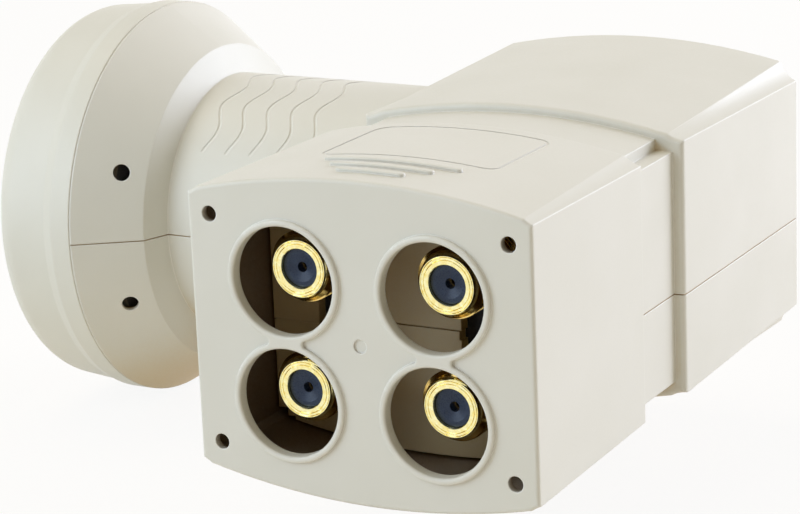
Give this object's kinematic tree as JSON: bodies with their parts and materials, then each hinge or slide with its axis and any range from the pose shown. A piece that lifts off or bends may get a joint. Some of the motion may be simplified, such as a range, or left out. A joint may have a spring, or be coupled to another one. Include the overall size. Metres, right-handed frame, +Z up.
{
  "type": "satellite lnb",
  "caption": "Satellite LNB: a capped round horn and clamp neck lead to a box-shaped case, with gold F connectors inside a sliding weather cover.",
  "frame": {"origin": "middle of the clamp neck, on the horn axis", "axes": "+X along the horn axis from the cap towards the case, -Y the way the connectors point, +Z up"},
  "size_m": [0.1096, 0.099, 0.0606],
  "materials": {
    "case_plastic": "moulded, fine satin texture, ivory grey",
    "cap_plastic": "moulded, satin, ivory grey",
    "cover_plastic": "moulded, fine satin texture, ivory grey",
    "gold_plate": "turned and gold plated, bright",
    "insulator_plastic": "moulded, dark navy, semi-gloss",
    "contact_metal": "plated spring contact",
    "black_rubber": "moulded, matt black",
    "cast_metal": "die cast, bare",
    "lid_sheet": "pressed sheet",
    "screw_steel": "zinc plated",
    "board_laminate": "laminate with solder mask",
    "puck_ceramic": "fired ceramic",
    "chip_plastic": "moulded, black",
    "capacitor_ceramic": "fired ceramic"
  },
  "bodies": {
    "main_body": {"upper_housing": "case_plastic", "lower_housing": "case_plastic", "horn_cap": "cap_plastic", "connector_upper_left": "gold_plate", "connector_upper_right": "gold_plate", "connector_lower_left": "gold_plate", "connector_lower_right": "gold_plate", "insulator_upper_left": "insulator_plastic", "insulator_upper_right": "insulator_plastic", "insulator_lower_left": "insulator_plastic", "insulator_lower_right": "insulator_plastic", "contact_upper_left": "contact_metal", "contact_upper_right": "contact_metal", "contact_lower_left": "contact_metal", "contact_lower_right": "contact_metal", "link_pins": "contact_metal", "slot_gasket_left": "black_rubber", "slot_gasket_right": "black_rubber", "cap_seal": "black_rubber", "feed_horn": "cast_metal", "chassis": "cast_metal", "chassis_lid": "lid_sheet", "lid_screws": "screw_steel", "horn_screws": "screw_steel", "housing_screws": "screw_steel", "rf_board": "board_laminate", "switch_board": "board_laminate", "oscillator_pucks": "puck_ceramic", "mixer_chips": "chip_plastic", "amplifier_transistors": "chip_plastic", "switch_chips": "chip_plastic", "voltage_regulators": "chip_plastic", "capacitors": "capacitor_ceramic"},
    "cover": {"weather_cover": "cover_plastic"}
  },
  "joints": [
    {"name": "cover_slide", "type": "slide", "parent": "main_body", "child": "cover", "axis": [0, 1, 0], "range_m": [-0.0058, 0.013]}
  ]
}
